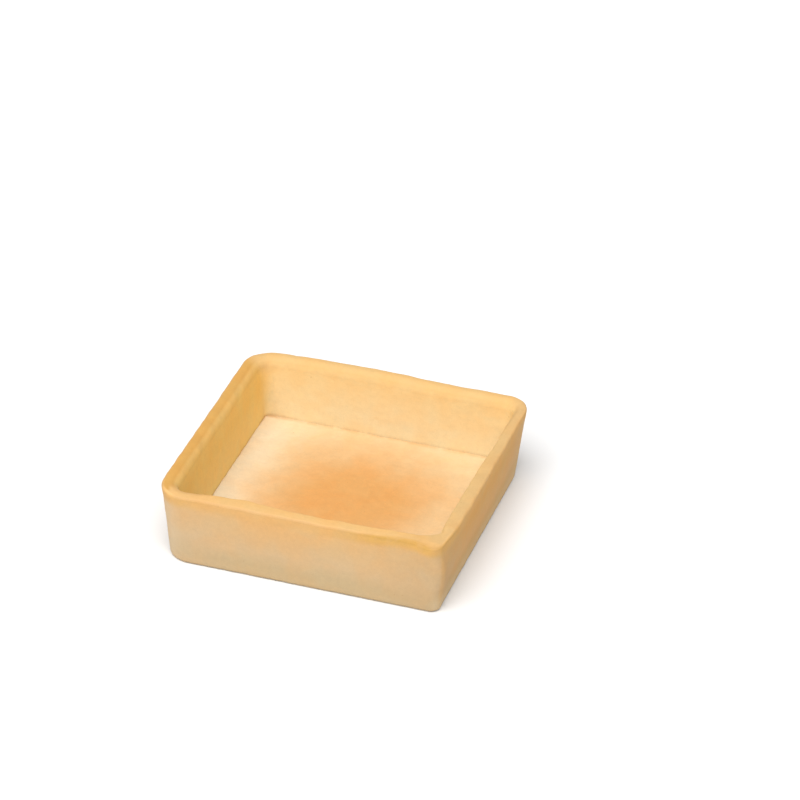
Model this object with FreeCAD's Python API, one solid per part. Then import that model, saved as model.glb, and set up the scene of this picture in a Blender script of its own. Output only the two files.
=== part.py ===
"""Square tart case of baked shortcrust pastry: an open, shallow tray with drafted walls.

It is lined from two pieces of rolled dough that bake together face to face:
  base_sheet  a flat square that fills the bottom of the tray
  wall_band   one strip bent round all four sides, reaching from the table to the rim

Millimetres, +Z up, origin at the centre of the underside. Writes parts/NODE.step.
"""

import FreeCAD
import Part

import math
import os

# Driving dimensions -----------------------------------------------------------------------
TOP_SIDE = 70.0  # outer side at the rim
BOTTOM_SIDE = 66.2  # outer side on the table; the difference is the mould's draft
HEIGHT = 19.0
WALL_AT_RIM = 3.7
WALL_AT_TABLE = 2.9  # the band thins towards the table
BASE_THICKNESS = 3.3

# Plan radii of the four corners, at the rim and at the table
OUTER_RADIUS_TOP = 6.5
OUTER_RADIUS_BOTTOM = 4.8
INNER_RADIUS_TOP = 3.2
INNER_RADIUS_BOTTOM = 1.8

RIM_OUTER_ROUND = 0.7
RIM_INNER_ROUND = 0.9
FOOT_ROUND = 0.6


def at_height(bottom_value, top_value, z):
    """A size that changes evenly from the table to the rim, read at height z."""
    return bottom_value + (top_value - bottom_value) * z / HEIGHT


def rounded_square(side, radius, z):
    """A closed wire: a square of that side with rounded corners, centred on the Z axis."""
    half = side / 2
    straight = half - radius
    diagonal = radius * math.sqrt(0.5)
    edges = []
    for quarter in range(4):
        turn = FreeCAD.Rotation(FreeCAD.Vector(0, 0, 1), 90 * quarter)

        def place(x, y):
            return turn.multVec(FreeCAD.Vector(x, y, 0)) + FreeCAD.Vector(0, 0, z)

        edges.append(Part.LineSegment(place(half, -straight), place(half, straight)).toShape())
        edges.append(
            Part.Arc(
                place(half, straight),
                place(straight + diagonal, straight + diagonal),
                place(straight, half),
            ).toShape()
        )
    return Part.Wire(edges)


def drafted_block(side, radius, low, high):
    """A solid between heights low and high; side and radius are functions of the height."""
    wires = [rounded_square(side(z), radius(z), z) for z in (low, high)]
    return Part.makeLoft(wires, True, True)


def outer_side(z):
    return at_height(BOTTOM_SIDE, TOP_SIDE, z)


def outer_radius(z):
    return at_height(OUTER_RADIUS_BOTTOM, OUTER_RADIUS_TOP, z)


def inner_side(z):
    return outer_side(z) - 2 * at_height(WALL_AT_TABLE, WALL_AT_RIM, z)


def inner_radius(z):
    return at_height(INNER_RADIUS_BOTTOM, INNER_RADIUS_TOP, z)


def edges_at(shape, z, inside, limit):
    """The edges lying at height z whose middle is inside, or outside, a square of half side limit."""
    found = []
    for edge in shape.Edges:
        box = edge.BoundBox
        if abs(box.ZMin - z) > 1e-4 or abs(box.ZMax - z) > 1e-4:
            continue
        reach = max(abs(box.Center.x), abs(box.Center.y))
        if (reach < limit) == inside:
            found.append(edge)
    return found


def make_wall_band():
    """The ring of four drafted walls, open top and bottom, with a rounded rim and foot."""
    outside = drafted_block(outer_side, outer_radius, 0, HEIGHT)
    cavity = drafted_block(inner_side, inner_radius, 0, HEIGHT)
    band = outside.cut(cavity)
    between_at_rim = (TOP_SIDE - WALL_AT_RIM) / 2
    between_at_foot = (BOTTOM_SIDE - WALL_AT_TABLE) / 2
    band = band.makeFillet(RIM_OUTER_ROUND, edges_at(band, HEIGHT, False, between_at_rim))
    band = band.makeFillet(RIM_INNER_ROUND, edges_at(band, HEIGHT, True, between_at_rim))
    return band.makeFillet(FOOT_ROUND, edges_at(band, 0, False, between_at_foot))


def make_base_sheet():
    """The floor: it fills the band's lower end, so its edge lies against the band all round."""
    return drafted_block(inner_side, inner_radius, 0, BASE_THICKNESS)


def main():
    os.makedirs("parts", exist_ok=True)
    nodes = {"wall_band": make_wall_band(), "base_sheet": make_base_sheet()}
    for name, shape in nodes.items():
        shape.exportStep(f"parts/{name}.step")
        size = shape.BoundBox
        print(
            f"{name}: {size.XLength:.2f} x {size.YLength:.2f} x {size.ZLength:.2f} mm, "
            f"{shape.Volume:.0f} mm3, valid {shape.isValid()}, solids {len(shape.Solids)}"
        )


main()
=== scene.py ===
"""Square tart case of baked shortcrust pastry: its two pieces of dough as they look after baking.

The CAD frame gives the sizes. Each piece of dough is a fine closed mesh with the unevenness of
hand-lined pastry, and a node material for its crumb and browning, with painted light and shade
in its colour. Blender's units are metres, +Z up; the shape functions work in millimetres and are
scaled when a mesh is made.
"""

import math

import bpy
import numpy as np
from mathutils import Matrix, Vector, kdtree, noise


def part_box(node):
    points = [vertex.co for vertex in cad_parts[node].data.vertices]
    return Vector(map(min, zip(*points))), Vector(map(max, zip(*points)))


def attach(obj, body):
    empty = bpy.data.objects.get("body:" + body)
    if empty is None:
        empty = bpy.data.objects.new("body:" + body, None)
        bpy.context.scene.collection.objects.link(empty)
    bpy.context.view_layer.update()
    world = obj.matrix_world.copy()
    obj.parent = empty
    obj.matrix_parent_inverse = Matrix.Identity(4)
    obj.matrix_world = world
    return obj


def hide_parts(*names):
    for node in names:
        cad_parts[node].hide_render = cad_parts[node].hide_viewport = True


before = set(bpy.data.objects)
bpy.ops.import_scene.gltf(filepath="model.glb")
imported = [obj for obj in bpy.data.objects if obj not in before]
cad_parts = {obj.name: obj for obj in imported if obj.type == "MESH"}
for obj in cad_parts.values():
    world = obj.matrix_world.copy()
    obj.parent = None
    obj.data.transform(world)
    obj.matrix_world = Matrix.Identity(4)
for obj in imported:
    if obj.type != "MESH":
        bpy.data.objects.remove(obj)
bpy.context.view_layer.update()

MM = 0.001

# ------------------------------------------------------------------------------------------
# Sizes in millimetres, from the CAD frame where it has them
# ------------------------------------------------------------------------------------------
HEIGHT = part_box("wall_band")[1].z / MM
WIDEST_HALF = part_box("wall_band")[1].x / MM
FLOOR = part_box("base_sheet")[1].z / MM
FLOOR_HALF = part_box("base_sheet")[1].x / MM

BAKING_SHRINK = 0.15  # of each outer face
OUTER_DRAFT = 0.1  # how far the outer face leans out for each millimetre of height
INNER_DRAFT = 0.058
RIM_OUTER_ROUND = 0.65
RIM_INNER_ROUND = 1.1
WORN_INNER_ROUND = 2.4  # of the rim's inner edge at the left and the back
FOOT_OUTER_ROUND = 1.0
FOOT_INNER_ROUND = 0.4
SHEET_EDGE_ROUND = 0.12  # of the base sheet, above and below
SHEET_EDGE_BAND = 0.06  # the outermost flat part of the sheet, made with its rounded edge
SEAM_GAP = 0.02  # between the base sheet's edge and the wall

# Plan radii of the corners in the order that the sides meet them: front right, back right,
# back left, front left
OUTER_RADII_AT_RIM = np.array([2.8, 5.5, 7.8, 6.8])
OUTER_RADII_AT_FOOT = np.array([2.2, 4.8, 5.5, 5.8])
INNER_RADII_AT_RIM = np.array([2.2, 2.6, 4.6, 3.0])
INNER_RADII_AT_FOOT = np.array([1.4, 1.6, 1.6, 1.7])
RADIUS_LOST = 0.8  # by the base sheet's corners, for each millimetre that a loop is drawn in

POINTS_A_SIDE = 180  # of each loop round the wall
FLOOR_RINGS = 86  # square rings of points from the middle of the base sheet to its edge

# How uneven the hand-lined case is, in millimetres
RIM_SWELL = 0.1  # long waves in the rim's height
RIM_WAVE = 0.17  # short ones
EDGE_WAVE = 0.24  # the rim's two edges sideways, against each other
EDGE_RIPPLE = 0.1  # both together
LIP = 0.04  # how far the rim stands out over the outer face
LIP_CHANGE = 0.1
THICKNESS_CHANGE = 0.16  # of the wall, on its inner face
FOOT_NIBBLE = 0.12
SEAM_WANDER = 0.16
SETTLED_LEFT = 0.5  # the inner left face near the floor
SETTLED_BACK = 0.4  # the inner back face near the floor
THICKER_FRONT = 0.9  # the front wall's rim, at the left
THICKER_RIGHT = 0.7  # the right wall's rim, towards the back
FILLED_CORNER = 3.6  # the inner front right corner at the rim
PINCHED_IN = 1.4  # the outer front right corner at the rim
PINCHED_OUT = 0.4  # the same corner below that
WRINKLE_SPACING = 3.4  # of the floor's faint round wrinkles

# Soft round spots in the plan, each x, y, strength and width: where the rim stands higher or
# lower, in millimetres, and where its outer edge is golden
RIM_BUMPS = (
    (33, -33, -0.8, 4.5), (26, -34, 0.4, 6), (20, -34, 0.15, 9),
    (-33, -33, -0.4, 6), (-28, 34, -0.4, 6), (-4, 34, 0.3, 12),
)
GOLDEN_SPOTS = (
    (24, -34, 1.2, 11), (-33, -34, 0.4, 10), (35, -26, 0.2, 8), (35, 25, 0.2, 10),
    (8, 35, 0.5, 14),
)
GOLDEN_ELSEWHERE = 0.15


def outer_half(z):
    """Half the case's side at height z, to the outer face."""
    return WIDEST_HALF - BAKING_SHRINK + OUTER_DRAFT * (z - (HEIGHT - RIM_OUTER_ROUND))


def inner_half(z):
    """Half the case's side at height z, to the inner face."""
    return FLOOR_HALF + INNER_DRAFT * (z - FLOOR)


def outer_radii(z):
    """Plan radii of the four outer corners at each of the heights z."""
    rise = z / HEIGHT
    return np.outer(OUTER_RADII_AT_FOOT, 1 - rise) + np.outer(OUTER_RADII_AT_RIM, rise)


def inner_radii(z):
    """Plan radii of the four inner corners at each of the heights z: they widen near the rim."""
    rise = (z / HEIGHT) ** 2
    return np.outer(INNER_RADII_AT_FOOT, 1 - rise) + np.outer(INNER_RADII_AT_RIM, rise)


# ------------------------------------------------------------------------------------------
# Noise and shape helpers
# ------------------------------------------------------------------------------------------
def lumps(points, size, seed, octaves=1):
    """Smooth noise, about -1 to 1, at each point; size is the width of a lump."""
    shift = Vector((seed * 17.31, seed * 5.17, seed * 29.73))
    values = [
        noise.fractal(Vector(p) / size + shift, 1.0, 2.0, octaves, noise_basis="PERLIN_ORIGINAL")
        for p in points.reshape(-1, 3).tolist()
    ]
    return np.array(values).reshape(points.shape[:-1])


def smooth_step(value, low, high):
    """0 below low, 1 above high, and a smooth ramp between them."""
    t = np.clip((value - low) / (high - low), 0, 1)
    return t * t * (3 - 2 * t)


def hump(value, middle, width):
    """1 at the middle and falling to both sides."""
    return np.exp(-(((value - middle) / width) ** 2))


def round_spot(points, x, y, width):
    """1 at the place x, y in the plan and falling all round it."""
    return hump(np.hypot(points[..., 0] - x, points[..., 1] - y), 0, width)


def all_spots(points, spots):
    """The sum of round spots at each point."""
    return sum(strength * round_spot(points, x, y, width) for x, y, strength, width in spots)


def side_places(side, share, half, radius_before, radius_after):
    """x and y along one side of a rounded square, from one corner's middle to the next one's.

    side counts quarter turns from the +X side, and share runs from 0 to 1 along the length.
    """
    arc_before = radius_before * math.pi / 4
    arc_after = radius_after * math.pi / 4
    straight = 2 * half - radius_before - radius_after
    travelled = share * (arc_before + straight + arc_after) - arc_before
    turn_before = np.clip(travelled / radius_before, -math.pi / 4, 0)
    turn_after = np.clip((travelled - straight) / radius_after, 0, math.pi / 4)
    along = np.clip(travelled, 0, straight) - (half - radius_before)
    along = along + radius_before * np.sin(turn_before) + radius_after * np.sin(turn_after)
    out = half - radius_before * (1 - np.cos(turn_before))
    out = out - radius_after * (1 - np.cos(turn_after))
    angle = side * math.pi / 2
    x = out * math.cos(angle) - along * math.sin(angle)
    y = out * math.sin(angle) + along * math.cos(angle)
    return x, y


def rounded_loops(half, height, radii, points_a_side):
    """Loops round the case, one for each half side, height and set of four corner radii.

    The result is an array of points: round the loop, then from loop to loop.
    """
    share = (np.arange(points_a_side) / points_a_side)[:, None]
    sides = []
    for side in range(4):
        x, y = side_places(side, share, half, radii[side], radii[(side + 1) % 4])
        sides.append(np.stack([x, y, np.broadcast_to(height, x.shape)], -1))
    return np.concatenate(sides)


def rounded_outline(corners):
    """A closed outline through (across, up, radius, steps round the corner, steps to the next)."""
    arcs = []
    for i, (across, up, radius, steps, _) in enumerate(corners):
        here = Vector((across, up))
        to_before = (Vector(corners[i - 1][:2]) - here).normalized()
        to_after = (Vector(corners[(i + 1) % len(corners)][:2]) - here).normalized()
        half_angle = to_before.angle(to_after) / 2
        centre = here + (to_before + to_after).normalized() * (radius / math.sin(half_angle))
        start = here + to_before * (radius / math.tan(half_angle)) - centre
        end = here + to_after * (radius / math.tan(half_angle)) - centre
        first = math.atan2(start.y, start.x)
        sweep = math.remainder(math.atan2(end.y, end.x) - first, 2 * math.pi)
        angles = first + sweep * np.arange(steps + 1) / steps
        arcs.append(np.array(centre) + radius * np.stack([np.cos(angles), np.sin(angles)], -1))
    outline = []
    for arc, next_arc, corner in zip(arcs, arcs[1:] + arcs[:1], corners):
        share = (np.arange(1, corner[4]) / corner[4])[:, None]
        outline += [arc, arc[-1] + (next_arc[0] - arc[-1]) * share]
    return np.concatenate(outline)


def band_faces(index, closed):
    """Quads between neighbouring loops of vertex numbers: round the loop, then loop to loop."""
    onward = np.roll(index, -1, 0)
    quads = np.stack([index, onward, np.roll(onward, -1, 1), np.roll(index, -1, 1)], -1)
    return (quads if closed else quads[:, :-1]).reshape(-1, 4).tolist()


def make_piece(name, points, faces):
    """A smooth-shaded mesh object from points in millimetres."""
    mesh = bpy.data.meshes.new(name)
    mesh.from_pydata((points.reshape(-1, 3) * MM).tolist(), [], faces)
    mesh.validate()
    mesh.shade_smooth()
    piece = bpy.data.objects.new(name, mesh)
    bpy.context.scene.collection.objects.link(piece)
    return piece


def vertex_numbers(piece, what):
    """One row of three for each vertex: "co" for its place or "normal"."""
    flat = np.zeros(len(piece.data.vertices) * 3)
    piece.data.vertices.foreach_get(what, flat)
    return flat.reshape(-1, 3)


def push_out(piece, distance):
    """Moves each vertex along its normal by its own distance in millimetres, to z = 0 at least."""
    moved = vertex_numbers(piece, "co") + vertex_numbers(piece, "normal") * distance[:, None] * MM
    moved[:, 2] = np.maximum(moved[:, 2], 0)
    piece.data.vertices.foreach_set("co", moved.ravel())
    piece.data.update()


def keep_values(piece, name, values):
    """Stores one number for each vertex, for the material to read."""
    piece.data.attributes.new(name, "FLOAT", "POINT").data.foreach_set("value", values.ravel())


def scattered_pits(points, allowed, count, radii, depth, seed):
    """How far a scatter of small round pits moves each point; a negative depth makes blisters."""
    random = np.random.default_rng(seed)
    tree = kdtree.KDTree(len(points))
    for i, p in enumerate(points.tolist()):
        tree.insert(p, i)
    tree.balance()
    moves = np.zeros(len(points))
    for centre in random.choice(np.flatnonzero(allowed), count, replace=False):
        radius = random.uniform(*radii)
        deep = depth * random.uniform(0.4, 1.0)
        for _, i, distance in tree.find_range(points[centre].tolist(), radius):
            moves[i] -= deep * (1 - (distance / radius) ** 2) ** 2
    return moves


# ------------------------------------------------------------------------------------------
# The wall: a ring of section loops
# ------------------------------------------------------------------------------------------
def wall_loops(inner_round):
    """Loops for one rounding of the rim's inner edge: up the inner face, over the rim and down.

    Also how far through the wall each point is, 0 inside and 1 outside, and its way in
    millimetres past the rim's outer edge: negative on the rim and down the inner face.
    """
    corners = [
        (inner_half(0), 0, FOOT_INNER_ROUND, 4, 42),
        (inner_half(HEIGHT), HEIGHT, inner_round, 10, 5),
        (outer_half(HEIGHT), HEIGHT, RIM_OUTER_ROUND, 6, 44),
        (outer_half(0), 0, FOOT_OUTER_ROUND, 6, 6),
    ]
    section = rounded_outline(corners)
    half, height = section.T
    inner = inner_half(height)
    through = np.clip((half - inner) / (outer_half(height) - inner), 0, 1)
    radii = inner_radii(height) * (1 - through) + outer_radii(height) * through
    loops = rounded_loops(half, height, radii, POINTS_A_SIDE)
    steps = np.linalg.norm(np.diff(section, axis=0), axis=1)
    travelled = np.concatenate([[0], np.cumsum(steps)])
    past_edge = travelled - travelled[height > HEIGHT - 1e-6].max()
    return loops, through[None], past_edge[None]


def make_wall():
    """The band of dough, with its way past the rim's edge and its golden places stored in it."""
    crisp = wall_loops(RIM_INNER_ROUND)
    worn = wall_loops(WORN_INNER_ROUND)
    x, y = crisp[0][:, 0, 0], crisp[0][:, 0, 1]
    wear = np.clip(smooth_step(-x, 15, 28) + smooth_step(y, 15, 28), 0, 1)[:, None]
    loops = crisp[0] * (1 - wear[..., None]) + worn[0] * wear[..., None]
    through = crisp[1] * (1 - wear) + worn[1] * wear
    past_edge = crisp[2] * (1 - wear) + worn[2] * wear

    index = np.arange(loops.shape[0] * loops.shape[1]).reshape(loops.shape[:2])
    outward_faces = band_faces(index[:, ::-1], closed=True)
    wall = make_piece("pastry_wall", bend_wall(loops, through, past_edge), outward_faces)
    keep_values(wall, "past_edge", past_edge)
    keep_values(wall, "golden", golden_band(loops, past_edge))
    roughen_wall(wall, through.ravel())
    return wall


def golden_band(loops, past_edge):
    """How golden each point is, 0 to 1: a browned band at the rim's outer edge, in places.

    At the front, towards the right corner, the band lies further up over the edge.
    """
    x, y = loops[..., 0], loops[..., 1]
    way = past_edge + 0.7 * hump(x, 26, 7) * smooth_step(-y, 29, 32)
    band = smooth_step(way, 0.1, 1.1) * (1 - smooth_step(way, 2.0, 4.2))
    return band * np.minimum(GOLDEN_ELSEWHERE + all_spots(loops, GOLDEN_SPOTS), 1)


def seam_wander(points):
    """How far the seam between the wall and the base sheet wanders outwards, in millimetres."""
    level = points * (1, 1, 0)
    distance = np.maximum(np.linalg.norm(level, axis=-1, keepdims=True), 1)
    return level / distance * (SEAM_WANDER * lumps(level, size=2.4, seed=41))[..., None]


def off_square(points):
    """How far the baked case has settled sideways inside, in millimetres: to the left and back."""
    shift = np.zeros(points.shape)
    shift[..., 0] = SETTLED_LEFT * smooth_step(-points[..., 0], 22, 30)
    shift[..., 1] = SETTLED_BACK * smooth_step(points[..., 1], 22, 30)
    return shift


def bend_wall(loops, through, past_edge):
    """The wall's points moved as hand lining and baking left them."""
    height = loops[..., 2]
    inside = 1 - through
    level = loops * (1, 1, 0)
    rim_line = level[:, np.argmin(np.abs(past_edge[0]))]

    # Sideways: wavy rim edges, a faint lip, a varying thickness and a nibbled foot
    flat_places = loops * (1, 1, 0.3)
    edge_wave = EDGE_WAVE * lumps(flat_places, size=3.0, seed=3) * (through - 0.5) * 2
    edge_wave += EDGE_RIPPLE * lumps(flat_places, size=1.6, seed=7)
    lip = (LIP + LIP_CHANGE * lumps(rim_line, size=7, seed=4))[:, None]
    lip = lip * smooth_step(height, HEIGHT - 3.2, HEIGHT - 1.6) * smooth_step(through, 0.6, 1)
    thickness = THICKNESS_CHANGE * lumps(loops * (1, 1, 0.6), size=11, seed=5)
    thickness = thickness * smooth_step(height, 2, 7) * inside
    nibble = FOOT_NIBBLE * lumps(loops, size=1.3, seed=6, octaves=2)
    nibble = nibble * smooth_step(-height, -1.2, 0) * through
    outwards = edge_wave * hump(past_edge, -1.5, 2.6) + lip + thickness + nibble
    way_out = level / np.linalg.norm(level, axis=-1, keepdims=True)
    bent = loops + way_out * outwards[..., None]

    # Up and down: the rim's line, less and less towards the foot
    rim_rise = RIM_SWELL * lumps(rim_line, size=13, seed=1)
    rim_rise += RIM_WAVE * lumps(rim_line, size=3.6, seed=2)
    rim_rise += all_spots(rim_line, RIM_BUMPS)
    bent[..., 2] += rim_rise[:, None] * (height / HEIGHT) ** 2

    # The inner face: askew near the floor, and thicker towards the rim at the front and right
    bent += off_square(loops) * (inside * (1 - smooth_step(height, 8, 18)))[..., None]
    near_floor = inside * (1 - smooth_step(height, FLOOR + 0.5, FLOOR + 4))
    bent += seam_wander(loops) * near_floor[..., None]
    x, y = loops[..., 0], loops[..., 1]
    towards_rim = smooth_step(height, 4, HEIGHT) * inside
    front = THICKER_FRONT * (1 - smooth_step(x, -14, -2))
    front += FILLED_CORNER * round_spot(loops, 32, -32, 4.5)
    bent[..., 1] += front * smooth_step(-y, 20, 29) * towards_rim
    right = THICKER_RIGHT * smooth_step(y, -15, 15) * smooth_step(x, 20, 29)
    bent[..., 0] += right * towards_rim

    # The outer face: the front right corner pinched in at the rim and out below
    pinch = PINCHED_OUT * hump(height, 8, 4) - PINCHED_IN * smooth_step(height, 11, 17.5)
    bent[..., 0] += pinch * through * round_spot(loops, 34, -34, 6)
    return bent


def roughen_wall(wall, through):
    """Fine unevenness of the baked surface, and small open pores."""
    points = vertex_numbers(wall, "co") / MM
    against_sheet = (1 - through) * smooth_step(-points[:, 2], -FLOOR * 1.5, -FLOOR)
    surface = 0.05 * lumps(points, size=5, seed=11, octaves=2)
    surface += 0.02 * lumps(points, size=1.7, seed=12, octaves=2)
    surface += 0.01 * lumps(points, size=0.8, seed=13)
    surface += scattered_pits(
        points, points[:, 2] > 1, count=220, radii=(0.3, 0.7), depth=0.08, seed=21
    )
    push_out(wall, surface * (1 - against_sheet))


# ------------------------------------------------------------------------------------------
# The base sheet: a grid above, a grid below and loops round the edge between them
# ------------------------------------------------------------------------------------------
def sheet_grid(half, radii):
    """Points of a square grid drawn in to a rounded square: its own rings are smaller copies."""
    u, v = np.meshgrid(
        np.arange(-FLOOR_RINGS, FLOOR_RINGS + 1), np.arange(-FLOOR_RINGS, FLOOR_RINGS + 1),
        indexing="ij",
    )
    ring = np.maximum(np.abs(u), np.abs(v))
    whole = np.maximum(ring, 1)
    places = np.zeros(u.shape + (2,))
    for side, (out, along) in enumerate(((u, v), (v, -u), (-u, -v), (-v, u))):
        share = (along / whole + 1) / 2
        x, y = side_places(side, share, half, radii[side], radii[(side + 1) % 4])
        here = (out == ring)[..., None]
        places = np.where(here, np.stack([x, y], -1) * (ring / FLOOR_RINGS)[..., None], places)
    return places


def sheet_rim_order():
    """Grid positions round the sheet's edge, in the order of rounded_loops."""
    run = np.arange(2 * FLOOR_RINGS)
    last = 2 * FLOOR_RINGS
    full = np.full_like(run, last)
    none = np.zeros_like(run)
    rows = np.concatenate([full, last - run, none, run])
    columns = np.concatenate([run, full, last - run, none])
    return rows, columns


def grid_faces(index, upward):
    """Quads of a square grid of vertex numbers."""
    quads = np.stack([index[:-1, :-1], index[1:, :-1], index[1:, 1:], index[:-1, 1:]], -1)
    quads = quads.reshape(-1, 4)
    return (quads if upward else quads[:, ::-1]).tolist()


def make_base():
    """The base sheet, close to the wall all round and with the wall's own wander at its edge."""
    corners = [
        (0, 0, 1e-3, 1, 2),
        (inner_half(0) - SEAM_GAP, 0, SHEET_EDGE_ROUND, 4, 8),
        (inner_half(FLOOR) - SEAM_GAP, FLOOR, SHEET_EDGE_ROUND, 4, 2),
        (0, FLOOR, 1e-3, 1, 2),
    ]
    section = rounded_outline(corners)
    flat = inner_half(0) - SEAM_GAP - SHEET_EDGE_ROUND
    edge = section[section[:, 0] > flat - SHEET_EDGE_BAND]
    narrower = inner_half(edge[:, 1]) - SEAM_GAP - edge[:, 0]
    radii = inner_radii(np.array([FLOOR])) - narrower * RADIUS_LOST
    loops = rounded_loops(edge[:, 0], edge[:, 1], radii, 2 * FLOOR_RINGS)

    below = sheet_grid(edge[0, 0], radii[:, 0])
    above = sheet_grid(edge[-1, 0], radii[:, -1])
    size = below.shape[0]
    grid_points = size * size
    points = np.concatenate(
        [
            np.concatenate([below, np.zeros((size, size, 1))], -1).reshape(-1, 3),
            np.concatenate([above, np.full((size, size, 1), FLOOR)], -1).reshape(-1, 3),
            loops[:, 1:-1].reshape(-1, 3),
        ]
    )
    low_index = np.arange(grid_points).reshape(size, size)
    high_index = low_index + grid_points
    rim = sheet_rim_order()
    middle = np.arange(loops[:, 1:-1, 0].size).reshape(loops.shape[0], -1) + 2 * grid_points
    edge_index = np.concatenate([low_index[rim][:, None], middle, high_index[rim][:, None]], 1)
    faces = grid_faces(low_index, upward=False) + grid_faces(high_index, upward=True)
    faces += band_faces(edge_index, closed=False)

    reach = np.max(np.abs(points[:, :2]), axis=1)
    near_edge = smooth_step(reach, FLOOR_HALF - 2, FLOOR_HALF - 0.2)
    moved = points + off_square(points) + seam_wander(points) * near_edge[:, None]
    base = make_piece("pastry_base", moved, faces)
    roughen_base(base)
    return base


def roughen_base(base):
    """A slightly wavy floor with faint round wrinkles, pores and a few blisters."""
    points = vertex_numbers(base, "co") / MM
    upper = points[:, 2] > FLOOR - 1e-3
    level = points * (1, 1, 0)
    surface = 0.12 * lumps(level, size=16, seed=31)
    surface += 0.05 * lumps(level, size=5, seed=32, octaves=2)
    surface += 0.02 * lumps(points, size=1.8, seed=33, octaves=2)
    surface += 0.01 * lumps(points, size=0.8, seed=34)
    radius = np.linalg.norm(level, axis=1) + 2.5 * lumps(level, size=8, seed=35)
    in_places = smooth_step(lumps(level, size=9, seed=36), -0.1, 0.5)
    wrinkles = np.sin(radius * 2 * math.pi / WRINKLE_SPACING) * in_places
    surface += 0.035 * wrinkles * upper
    surface += scattered_pits(points, upper, count=150, radii=(0.35, 0.8), depth=0.09, seed=37)
    surface += scattered_pits(points, upper, count=26, radii=(0.6, 1.3), depth=-0.09, seed=38)
    from_wall = FLOOR_HALF - np.max(np.abs(level), axis=1)
    push_out(base, surface * smooth_step(from_wall, 0.3, 1.5))


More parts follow.
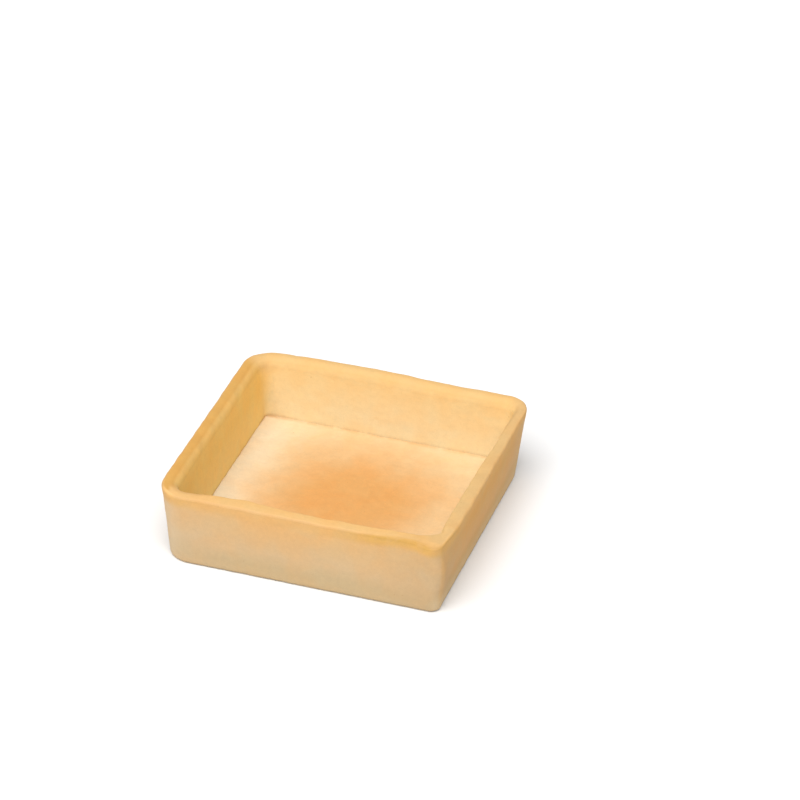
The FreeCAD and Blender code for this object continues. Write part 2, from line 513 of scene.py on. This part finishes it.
# ------------------------------------------------------------------------------------------
# Materials
# ------------------------------------------------------------------------------------------
class Paint:
    """A material being built. Each method adds a node and gives the output to use next."""

    def __init__(self, name):
        self.material = bpy.data.materials.new(name)
        self.material.use_nodes = True
        self.nodes = self.material.node_tree.nodes
        self.links = self.material.node_tree.links
        self.shader = self.nodes["Principled BSDF"]

    def put(self, value, socket):
        """Links a node's output to a socket, or sets a plain value there."""
        if isinstance(value, bpy.types.NodeSocket):
            self.links.new(value, socket)
        else:
            socket.default_value = value

    def place(self):
        """The place on the object in millimetres."""
        scale = self.nodes.new("ShaderNodeVectorMath")
        scale.operation = "SCALE"
        self.put(self.nodes.new("ShaderNodeTexCoord").outputs["Object"], scale.inputs[0])
        scale.inputs["Scale"].default_value = 1 / MM
        return scale.outputs[0]

    def distance(self, place, centre):
        """How far a place is from a centre, both in millimetres."""
        node = self.nodes.new("ShaderNodeVectorMath")
        node.operation = "DISTANCE"
        self.put(place, node.inputs[0])
        node.inputs[1].default_value = centre
        return node.outputs["Value"]

    def attribute(self, name):
        """A number stored in the mesh for each vertex."""
        node = self.nodes.new("ShaderNodeAttribute")
        node.attribute_name = name
        return node.outputs["Fac"]

    def separate(self, vector):
        """The three numbers of a vector or a colour."""
        node = self.nodes.new("ShaderNodeSeparateXYZ")
        self.put(vector, node.inputs[0])
        return node.outputs

    def noise(self, place, size, detail=2.0, distortion=0.0):
        """Soft noise from 0 to 1 with lumps of that size in millimetres."""
        node = self.nodes.new("ShaderNodeTexNoise")
        self.put(place, node.inputs["Vector"])
        node.inputs["Scale"].default_value = 1 / size
        node.inputs["Detail"].default_value = detail
        node.inputs["Distortion"].default_value = distortion
        return node.outputs["Fac"]

    def math(self, operation, a, b=0.0):
        node = self.nodes.new("ShaderNodeMath")
        node.operation = operation
        self.put(a, node.inputs[0])
        self.put(b, node.inputs[1])
        return node.outputs[0]

    def plus(self, a, b):
        return self.math("ADD", a, b)

    def minus(self, a, b):
        return self.math("SUBTRACT", a, b)

    def times(self, a, b):
        return self.math("MULTIPLY", a, b)

    def unsigned(self, value):
        """The value without its sign."""
        return self.math("ABSOLUTE", value)

    def spread(self, value, low, high, to_low=0.0, to_high=1.0):
        """A smooth ramp of a value: to_low at low and below, to_high at high and above."""
        node = self.nodes.new("ShaderNodeMapRange")
        node.interpolation_type = "SMOOTHSTEP"
        for number, socket in zip((value, low, high, to_low, to_high), node.inputs):
            self.put(number, socket)
        return node.outputs[0]

    def ramp(self, value, low, high, stops):
        """Colours along a value from low to high; stops are (value, colour) in order."""
        share = self.nodes.new("ShaderNodeMapRange")
        for number, socket in zip((value, low, high), share.inputs):
            self.put(number, socket)
        node = self.nodes.new("ShaderNodeValToRGB")
        self.put(share.outputs[0], node.inputs[0])
        elements = node.color_ramp.elements
        while len(elements) < len(stops):
            elements.new(1)
        for element, (at, color) in zip(elements, stops):
            element.position = (at - low) / (high - low)
            element.color = (*color, 1)
        return node.outputs["Color"]

    def mix(self, share, a, b, blend="MIX"):
        """Colour a where the share is 0 and colour b where it is 1."""
        node = self.nodes.new("ShaderNodeMix")
        node.data_type = "RGBA"
        node.blend_type = blend
        self.put(share, node.inputs[0])
        self.put((*a, 1) if isinstance(a, tuple) else a, node.inputs[6])
        self.put((*b, 1) if isinstance(b, tuple) else b, node.inputs[7])
        return node.outputs[2]

    def overlay(self, color, patch, *masks):
        """The patch's colour laid over another, as strongly as the masks' product."""
        share = masks[0]
        for mask in masks[1:]:
            share = self.times(share, mask)
        return self.mix(share, color, patch)

    def shade(self, color, value):
        """The colour times a number."""
        grey = self.nodes.new("ShaderNodeCombineColor")
        for socket in grey.inputs:
            self.put(value, socket)
        return self.mix(1.0, color, grey.outputs[0], "MULTIPLY")

    def specks(self, place, spacing, rarity, radius):
        """1 in scattered small dots, a few of the cells of that spacing having one."""
        cells = self.nodes.new("ShaderNodeTexVoronoi")
        self.put(place, cells.inputs["Vector"])
        cells.inputs["Scale"].default_value = 1 / spacing
        chosen = self.math("GREATER_THAN", self.separate(cells.outputs["Color"])[0], rarity)
        edge = radius / spacing
        dot = self.spread(cells.outputs["Distance"], edge * 0.5, edge, 1, 0)
        return self.times(dot, chosen)

    def bump(self, height, distance):
        """Bump of a height from 0 to 1 that stands for a distance in millimetres."""
        node = self.nodes.new("ShaderNodeBump")
        node.inputs["Distance"].default_value = distance * MM
        self.put(height, node.inputs["Height"])
        self.links.new(node.outputs[0], self.shader.inputs["Normal"])


PINKISH = (1.012, 0.976, 0.93)
GREENISH = (0.983, 1.007, 1.03)
SPECK = (0.36, 0.17, 0.05)
SPECK_STRENGTH = 0.3
# painted shade in the seam between wall and floor
SEAM_SHADE = (0.50, 0.27, 0.09)
ROUGHNESS_PALE = 0.82
ROUGHNESS_BROWN = 0.68
CRUMB_DEPTH = 0.04  # in millimetres

# Places on the case, in millimetres
BACK_LEFT_FLOOR = (-30, 30, 3)
BACK_LEFT_RIM = (-30, 33, 21)
FRONT_LEFT_RIM = (-33, -34, 18)


def crumb(paint, place, color, browning):
    """What every pastry surface shares: mottling, specks, roughness and the crumb's bump."""
    cloud = paint.noise(place, 6.0, detail=2.0, distortion=0.4)
    mottle = paint.noise(place, 1.1, detail=3.0)
    grain = paint.noise(place, 0.35, detail=2.0)
    hue = paint.mix(paint.spread(cloud, 0.3, 0.7), PINKISH, GREENISH)
    color = paint.mix(1.0, color, hue, "MULTIPLY")
    light = paint.plus(paint.spread(mottle, 0.25, 0.75, -0.025, 0.025), 1.0)
    light = paint.plus(light, paint.spread(grain, 0.25, 0.75, -0.02, 0.02))
    color = paint.shade(color, light)
    specks = paint.specks(place, spacing=1.9, rarity=0.94, radius=0.22)
    color = paint.overlay(color, SPECK, specks, SPECK_STRENGTH)
    paint.put(color, paint.shader.inputs["Base Color"])
    rough = paint.spread(browning, 0, 1, ROUGHNESS_PALE, ROUGHNESS_BROWN)
    rough = paint.plus(rough, paint.spread(mottle, 0.3, 0.7, -0.05, 0.05))
    paint.put(rough, paint.shader.inputs["Roughness"])
    paint.bump(paint.plus(paint.times(mottle, 0.45), paint.times(grain, 0.55)), CRUMB_DEPTH)
    paint.shader.inputs["Specular IOR Level"].default_value = 0.3
    return paint.material


def seam_shade_strength(paint, place):
    """How strong the painted shade in the seam between wall and floor is: uneven, and most at the
    back left corner.
    """
    uneven = paint.spread(paint.noise(place, 2.5), 0.3, 0.6, 0.05, 0.35)
    from_corner = paint.distance(place, BACK_LEFT_FLOOR)
    return paint.plus(uneven, paint.spread(from_corner, 1, 7, 0.4, 0))


# Colours of each side along the way past the rim's outer edge, in millimetres: first up the inner
# face, over the rim, then down the outer face. Besides the crust's own colour they hold painted
# light and shade. Each side is lighter, darker or warmer for how the lamp falls on it, and darker
# stops on the rim's rounded edges (as at 0.6 outside) cancel their highlight.
WAY_START = -16
WAY_END = 16
OUTSIDE = (
    (0.6, (0.595, 0.352, 0.148)), (1.4, (0.675, 0.39, 0.148)), (5, (0.63, 0.388, 0.172)),
    (12, (0.572, 0.392, 0.211)), (16, (0.50, 0.36, 0.195)),
)
FRONT_COLORS = (
    (-14, (0.80, 0.60, 0.29)), (-3.6, (0.80, 0.55, 0.23)), (-1.9, (0.71, 0.42, 0.154)),
    (-1.3, (0.68, 0.405, 0.15)), (-0.4, (0.695, 0.42, 0.163)), (0.1, (0.67, 0.405, 0.158)),
    *OUTSIDE,
)
BACK_COLORS = (
    (-14, (0.73, 0.58, 0.335)), (-8, (0.80, 0.605, 0.315)), (-4.6, (0.80, 0.58, 0.277)),
    (-2.8, (0.67, 0.425, 0.168)), (0, (0.65, 0.40, 0.155)), *OUTSIDE,
)
LEFT_COLORS = (
    (-14, (0.865, 0.618, 0.225)), (-8, (0.86, 0.585, 0.178)), (-4.5, (0.91, 0.625, 0.195)),
    (-1.6, (0.585, 0.317, 0.08)), (0, (0.585, 0.32, 0.082)), *OUTSIDE,
)
# The right side's outer face is browner and warmer than the front: partly painted shade for the
# side turned from the lamp
RIGHT_COLORS = (
    (-14, (0.80, 0.60, 0.29)), (-3.6, (0.80, 0.56, 0.24)), (-1.9, (0.62, 0.39, 0.16)),
    (0, (0.61, 0.38, 0.157)), (0.6, (0.67, 0.395, 0.155)), (1.4, (0.665, 0.355, 0.09)),
    (5, (0.638, 0.346, 0.098)), (12, (0.635, 0.37, 0.145)), (16, (0.57, 0.35, 0.125)),
)
# The golden band's own colours along the same way: browned crust, made darker around 0.5 to 0.85,
# where the rounded outer edge faces the lamp. This is painted shade that cancels the edge's
# highlight.
GOLDEN_FROM = -4
GOLDEN_TO = 4
GOLDEN_WITH_EDGE_SHADE = (
    (-0.5, (0.67, 0.38, 0.118)), (0.1, (0.60, 0.335, 0.093)), (0.5, (0.505, 0.278, 0.066)),
    (0.85, (0.525, 0.29, 0.07)), (1.2, (0.60, 0.338, 0.089)), (1.6, (0.64, 0.362, 0.10)),
)

CORNER_SHADE = (0.55, 0.395, 0.235)  # painted shade: the outer faces darker and duller towards their corners
CORNER_SHADE_DARK = (0.47, 0.33, 0.185)  # the same painted shade, darker near the front right corner
EDGE_HIGHLIGHT = (0.76, 0.50, 0.20)  # painted highlight on the left rim, along the way's EDGE_LINE
EDGE_LINE = -2.6
CORNER_LIGHT = (0.78, 0.475, 0.195)  # painted light on the front left corner just below the rim
TURN_LIGHT = (0.71, 0.54, 0.34)  # painted light on the outer face round the front left and back right corners
FOOT_BOUNCE_LIGHT = (0.70, 0.53, 0.32)  # painted light bounced from the floor onto the right wall's foot


def side_colors_and_shading(paint, place, past_edge, way):
    """The colours of the four sides, each giving way to the next at the corners, with each side's
    painted light and shade.
    """
    x, y, _ = paint.separate(place)

    def along_way(stops):
        return paint.ramp(way, WAY_START, WAY_END, stops)

    front_back = paint.mix(paint.spread(y, -1, 1), along_way(FRONT_COLORS), along_way(BACK_COLORS))
    left_right = paint.mix(paint.spread(x, -1, 1), along_way(LEFT_COLORS), along_way(RIGHT_COLORS))

    # At the front, the rim's change of colour lies beside the corner and not in its diagonal
    beside = paint.times(
        paint.spread(past_edge, -1, 0, 1, -0.3), paint.spread(x, -10, 10, -1.2, 1.5)
    )
    beside = paint.times(beside, paint.spread(y, -28, -20, 1, 0))
    past_diagonal = paint.plus(paint.minus(paint.unsigned(x), paint.unsigned(y)), beside)

    # The change is sharp at the front, and softer at the back and on the rim. At the front right
    # corner it is a painted edge between the lit front and the shaded right side.
    softness = paint.plus(
        paint.spread(y, -30, 30, 0.8, 2.8), paint.spread(past_edge, -1, 0, 1.4, 0)
    )
    at_left_right = paint.spread(paint.math("DIVIDE", past_diagonal, softness), -1, 1)
    off_back_left = paint.spread(paint.distance(place, BACK_LEFT_RIM), 4, 8)
    return paint.overlay(front_back, left_right, at_left_right, off_back_left)


def wall_material():
    """The wall's crust: golden at the rim and paler down the faces. It also has painted light and
    shade per side, on the rim edges, at two corners, at the right foot and in the seam.
    """
    paint = Paint("wall_pastry")
    place = paint.place()
    x, y, z = paint.separate(place)
    past_edge = paint.attribute("past_edge")
    wander = paint.spread(paint.noise(place, 6.0, detail=3.0), 0.2, 0.8, -0.7, 0.7)
    way = paint.plus(past_edge, paint.times(wander, paint.spread(past_edge, 1.5, 3.5)))
    color = side_colors_and_shading(paint, place, past_edge, way)

    below_rim = paint.spread(way, 1.5, 4)
    near_corner = paint.math("MINIMUM", paint.unsigned(x), paint.unsigned(y))
    across = paint.minus(x, y)
    # Painted shade darkening the outer faces towards their corners
    corner_shade_color = paint.mix(paint.spread(across, 15, 60), CORNER_SHADE, CORNER_SHADE_DARK)
    color = paint.overlay(color, corner_shade_color, paint.spread(near_corner, 12, 34, 0, 0.45), below_rim)
    # Painted light on the outer faces where they turn round the front left and back right corners
    color = paint.overlay(
        color, TURN_LIGHT,
        paint.spread(near_corner, 27.5, 32, 0, 0.42),
        below_rim,
        paint.spread(paint.unsigned(across), 4, 12, 1, 0),
    )
    # Painted light: the front left corner below the rim made as bright as the lit rim top
    color = paint.overlay(
        color, CORNER_LIGHT,
        paint.spread(paint.distance(place, FRONT_LEFT_RIM), 1.5, 4, 0.8, 0),
        paint.spread(past_edge, 0, 0.4),
        paint.spread(past_edge, 1.2, 1.9, 1, 0),
    )
    patchy = paint.spread(paint.noise(place, 2.2), 0.3, 0.5, 0.75, 1)
    # golden browning of the crust, with painted shade on the lit rounded edge
    golden = paint.ramp(past_edge, GOLDEN_FROM, GOLDEN_TO, GOLDEN_WITH_EDGE_SHADE)
    color = paint.overlay(color, golden, paint.attribute("golden"), patchy)
    # Painted highlight along the left rim's inner edge
    from_edge_line = paint.unsigned(paint.minus(past_edge, EDGE_LINE))
    color = paint.overlay(
        color, EDGE_HIGHLIGHT,
        paint.spread(from_edge_line, 0.2, 1, 0.25, 0),
        paint.spread(x, -31, -28, 1, 0),
    )
    # Painted light bounced from the floor onto the right wall's foot
    color = paint.overlay(
        color, FOOT_BOUNCE_LIGHT, paint.spread(z, 1.5, 6, 0.45, 0), paint.spread(x, 31, 33)
    )
    # Painted shade along the wall's foot inside, at the seam with the floor
    color = paint.overlay(
        color, SEAM_SHADE,
        paint.spread(z, FLOOR, FLOOR + 0.8, 0.5, 0),
        seam_shade_strength(paint, place),
        paint.spread(past_edge, -14, -12, 1, 0),
    )
    browning = paint.spread(paint.unsigned(past_edge), 0, 6, 1, 0)
    return crumb(paint, place, color, browning)


FLOOR_PALE = (0.668, 0.50, 0.285)
FLOOR_LIGHT_LEFT = (0.705, 0.575, 0.39)  # painted light along the left wall, against the shade it casts on the floor
FLOOR_BROWN = (0.62, 0.313, 0.10)
UNDERSIDE = (0.60, 0.39, 0.19)
BROWN_CENTRE_X = 1.5
BROWN_CENTRE_Y = 1.0
BROWN_NARROWER = 1.06  # left to right than front to back
BROWNEST_RADIUS = 8.5
PALE_RADIUS = 36


def base_material():
    """The floor's crust: pale at the walls and browned in a wide soft patch in the middle. It has
    painted light along the left wall and painted shade in the seam.
    """
    paint = Paint("floor_pastry")
    place = paint.place()
    x, y, z = paint.separate(place)
    across = paint.times(paint.minus(x, BROWN_CENTRE_X), BROWN_NARROWER)
    along = paint.minus(y, BROWN_CENTRE_Y)
    squares = paint.plus(paint.times(across, across), paint.times(along, along))
    wander = paint.spread(paint.noise(place, 14.0), 0.2, 0.8, -2.5, 2.5)
    radius = paint.plus(paint.math("SQRT", squares), wander)
    browning = paint.spread(radius, BROWNEST_RADIUS, PALE_RADIUS, 1, 0)
    # Painted light along the left wall
    pale = paint.mix(paint.spread(x, -30, -14), FLOOR_LIGHT_LEFT, FLOOR_PALE)
    color = paint.mix(browning, pale, FLOOR_BROWN)
    color = paint.shade(color, paint.spread(paint.noise(place, 3.5), 0.3, 0.7, 0.98, 1.02))
    reach = paint.math("MAXIMUM", paint.unsigned(x), paint.unsigned(y))
    beside_wall = paint.spread(reach, FLOOR_HALF - 1.3, FLOOR_HALF - 0.1)
    # Painted shade along the floor's edge, at the seam with the wall
    color = paint.overlay(color, SEAM_SHADE, beside_wall, seam_shade_strength(paint, place))
    color = paint.mix(paint.spread(z, 0.5, 1.5, 1, 0), color, UNDERSIDE)
    return crumb(paint, place, color, browning)


# ------------------------------------------------------------------------------------------
# Camera, light and floor
# ------------------------------------------------------------------------------------------
CAMERA_AZIMUTH = 16.47  # degrees, from -Y round to +X
CAMERA_ELEVATION = 31.18
CAMERA_ROLL = 2.18
CAMERA_DISTANCE = 1.12  # metres, as are the next two
LOOK_RIGHT = 0.01303  # where the camera looks, sideways and up from the origin in its own view
LOOK_UP = 0.02654
CAMERA_LENS = 215.6
KEY_ELEVATION = 60  # degrees
KEY_WIDTH = 55  # degrees that the soft lamp spans, seen from the object
KEY_STRENGTH = 3.58
SKY_STRENGTH = 0.42
WHITE = (1.0, 1.0, 1.0, 1.0)
FLOOR_GREY = (0.80, 0.80, 0.80, 1.0)
GROUND_RADIUS = 4  # metres


def direction(azimuth, elevation):
    """The unit vector towards a place seen at that azimuth from -Y round to +X, in degrees."""
    a, e = math.radians(azimuth), math.radians(elevation)
    return Vector((math.sin(a) * math.cos(e), -math.cos(a) * math.cos(e), math.sin(e)))


def make_camera():
    """A long lens that looks down on the case from the front and a little from the right."""
    back = direction(CAMERA_AZIMUTH, CAMERA_ELEVATION)
    roll = math.radians(CAMERA_ROLL)
    level_right = direction(CAMERA_AZIMUTH + 90, 0)
    level_up = back.cross(level_right)
    right = level_right * math.cos(roll) + level_up * math.sin(roll)
    up = level_up * math.cos(roll) - level_right * math.sin(roll)
    place = right * LOOK_RIGHT + up * LOOK_UP + back * CAMERA_DISTANCE
    camera = bpy.data.objects.new("camera", bpy.data.cameras.new("camera"))
    bpy.context.scene.collection.objects.link(camera)
    turn = Matrix((right, up, back)).transposed().to_4x4()
    camera.matrix_world = Matrix.Translation(place) @ turn
    camera.data.lens = CAMERA_LENS
    camera.data.sensor_width = 36
    camera.data.clip_end = 20
    bpy.context.scene.camera = camera


def make_light():
    """One wide soft lamp over the front, and even light from all round."""
    sun = bpy.data.objects.new("key", bpy.data.lights.new("key", "SUN"))
    bpy.context.scene.collection.objects.link(sun)
    towards_sun = direction(0, KEY_ELEVATION)
    sun.matrix_world = towards_sun.to_track_quat("Z", "Y").to_matrix().to_4x4()
    sun.data.energy = KEY_STRENGTH
    sun.data.angle = math.radians(KEY_WIDTH)
    world = bpy.data.worlds.new("studio")
    world.use_nodes = True
    background = world.node_tree.nodes["Background"]
    background.inputs["Color"].default_value = WHITE
    background.inputs["Strength"].default_value = SKY_STRENGTH
    bpy.context.scene.world = world
    bpy.context.scene.view_settings.view_transform = "Standard"


def make_floor():
    """A wide pale round floor, which isn't part of the object."""
    steps = 96
    angles = [2 * math.pi * k / steps for k in range(steps)]
    ring = [(GROUND_RADIUS * math.cos(a), GROUND_RADIUS * math.sin(a), 0) for a in angles]
    mesh = bpy.data.meshes.new("floor")
    mesh.from_pydata(ring, [], [list(range(steps))])
    floor = bpy.data.objects.new("floor", mesh)
    bpy.context.scene.collection.objects.link(floor)
    paint = Paint("pale_floor")
    paint.shader.inputs["Base Color"].default_value = FLOOR_GREY
    paint.shader.inputs["Roughness"].default_value = 0.9
    paint.shader.inputs["Specular IOR Level"].default_value = 0.2
    mesh.materials.append(paint.material)


make_camera()
make_light()
make_floor()
for piece, node, slot, material in (
    (make_wall(), "wall_band", "wall_pastry", wall_material()),
    (make_base(), "base_sheet", "floor_pastry", base_material()),
):
    piece.data.materials.append(material)
    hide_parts(node)
    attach(piece, "root")
